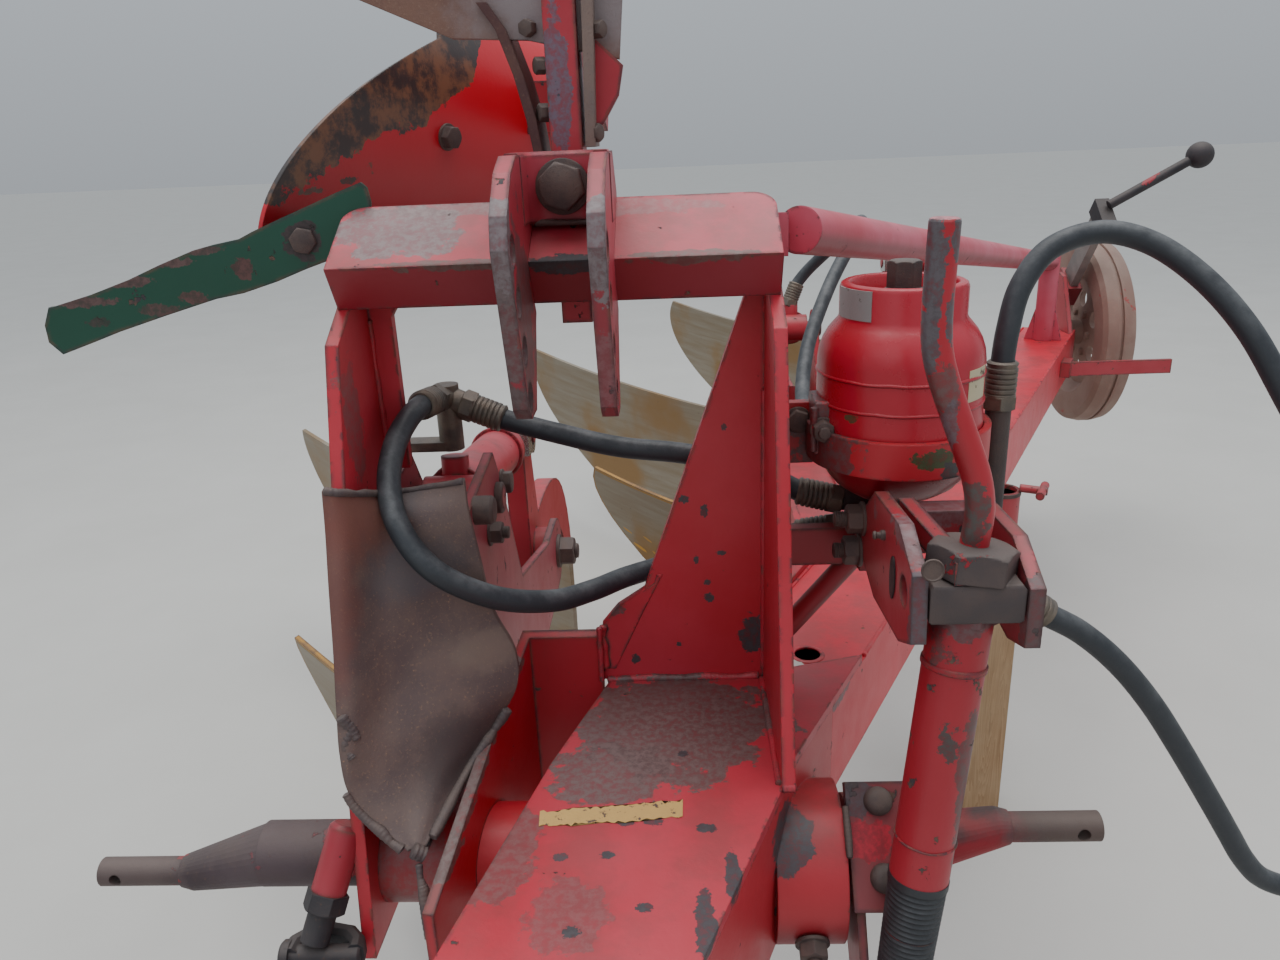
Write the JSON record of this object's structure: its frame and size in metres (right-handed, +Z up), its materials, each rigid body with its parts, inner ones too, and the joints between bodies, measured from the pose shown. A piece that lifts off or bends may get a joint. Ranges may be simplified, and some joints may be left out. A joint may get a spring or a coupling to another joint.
{
  "type": "moldboard plough",
  "caption": "Mounted mouldboard plough: angled beam with hydraulic-trip bodies, skimmers, hitch shaft, top link tower, gas accumulator, depth wheel and timber parking post.",
  "frame": {"origin": "middle of the lower hitch shaft, on its axis", "axes": "+X to the land side, along the hitch shaft; +Y rearward; +Z up"},
  "size_m": [2.3232, 3.588, 1.407],
  "materials": {
    "red_paint": "chipped gloss paint",
    "dark_paint": "worn dull paint",
    "worn_steel": "bare and rusted",
    "rod_steel": "bare piston rod",
    "polished_board": "scoured, light rust",
    "green_paint": "scratched paint",
    "wheel_tread": "dusty",
    "hose": "satin",
    "timber": "rough sawn"
  },
  "bodies": {
    "frame": {"main_beam": "red_paint", "headstock": "red_paint", "nose_plate": "red_paint", "hitch_shaft": "worn_steel", "shaft_lever": "dark_paint", "tower_left": "red_paint", "tower_right": "red_paint", "gusset": "red_paint", "crossbeam": "red_paint", "top_link_bracket": "red_paint", "stay_tube": "red_paint", "stay_post": "red_paint", "bracket_1": "dark_paint", "bracket_2": "red_paint", "bracket_3": "red_paint", "skimmer_1": "polished_board", "skimmer_2": "polished_board", "skimmer_3": "polished_board", "spare_leg": "dark_paint", "spare_board": "red_paint", "spare_tail": "green_paint", "accumulator": "red_paint", "accumulator_arm": "dark_paint", "valve_block": "dark_paint", "wheel_bracket": "red_paint", "spindle_bracket": "dark_paint", "spindle": "red_paint", "spindle_handle": "red_paint", "stand_socket": "dark_paint", "timber_post": "timber", "hose_tee": "worn_steel", "hose_supply": "hose", "hose_trip": "hose", "hose_link": "hose", "hose_rear": "hose"},
    "leg_unit_1": {"leg_1": "dark_paint", "share_1": "worn_steel", "mouldboard_1": "polished_board"},
    "barrel_unit_1": {"barrel_1": "red_paint"},
    "rod_unit_1": {"rod_1": "rod_steel"},
    "leg_unit_2": {"leg_2": "dark_paint", "share_2": "worn_steel", "mouldboard_2": "polished_board"},
    "barrel_unit_2": {"barrel_2": "red_paint"},
    "rod_unit_2": {"rod_2": "rod_steel"},
    "leg_unit_3": {"leg_3": "dark_paint", "share_3": "worn_steel", "mouldboard_3": "polished_board"},
    "barrel_unit_3": {"barrel_3": "red_paint"},
    "rod_unit_3": {"rod_3": "rod_steel"},
    "wheel_arm": {"wheel_column": "worn_steel", "wheel_crank": "worn_steel"},
    "wheel": {"depth_wheel": "wheel_tread"}
  },
  "joints": [
    {"name": "trip_1", "type": "hinge", "parent": "frame", "child": "leg_unit_1", "pos_m": [-0.14, 0.63, 0.04], "axis": [1, 0, 0], "range_deg": [0, 22]},
    {"name": "barrel_hinge_1", "type": "hinge", "parent": "frame", "child": "barrel_unit_1", "pos_m": [-0.14, 0.2, 0.294], "axis": [1, 0, 0], "range_deg": [-5, 0]},
    {"name": "rod_slide_1", "type": "slide", "parent": "barrel_unit_1", "child": "rod_unit_1", "axis": [0, 0.9914, -0.1306], "range_m": [-0.071, 0]},
    {"name": "trip_2", "type": "hinge", "parent": "frame", "child": "leg_unit_2", "pos_m": [0.325, 1.515, 0.04], "axis": [1, 0, 0], "range_deg": [0, 22]},
    {"name": "barrel_hinge_2", "type": "hinge", "parent": "frame", "child": "barrel_unit_2", "pos_m": [0.325, 1.085, 0.294], "axis": [1, 0, 0], "range_deg": [-5, 0]},
    {"name": "rod_slide_2", "type": "slide", "parent": "barrel_unit_2", "child": "rod_unit_2", "axis": [0, 0.9914, -0.1306], "range_m": [-0.071, 0]},
    {"name": "trip_3", "type": "hinge", "parent": "frame", "child": "leg_unit_3", "pos_m": [0.79, 2.4, 0.04], "axis": [1, 0, 0], "range_deg": [0, 22]},
    {"name": "barrel_hinge_3", "type": "hinge", "parent": "frame", "child": "barrel_unit_3", "pos_m": [0.79, 1.97, 0.294], "axis": [1, 0, 0], "range_deg": [-5, 0]},
    {"name": "rod_slide_3", "type": "slide", "parent": "barrel_unit_3", "child": "rod_unit_3", "axis": [0, 0.9914, -0.1306], "range_m": [-0.071, 0]},
    {"name": "wheel_height", "type": "slide", "parent": "frame", "child": "wheel_arm", "axis": [0, 0.6361, -0.7716], "range_m": [0, 0.2]},
    {"name": "wheel_spin", "type": "hinge", "parent": "wheel_arm", "child": "wheel", "pos_m": [1.29193, 2.07577, 0.062], "axis": [1, 0, 0], "continuous": true}
  ],
  "couplings": [
    {"joint": "barrel_hinge_1", "follows": "trip_1", "ratio": -0.2132},
    {"joint": "rod_slide_1", "follows": "trip_1", "m_per_rad": -0.1818},
    {"joint": "barrel_hinge_2", "follows": "trip_2", "ratio": -0.2132},
    {"joint": "rod_slide_2", "follows": "trip_2", "m_per_rad": -0.1818},
    {"joint": "barrel_hinge_3", "follows": "trip_3", "ratio": -0.2132},
    {"joint": "rod_slide_3", "follows": "trip_3", "m_per_rad": -0.1818}
  ]
}
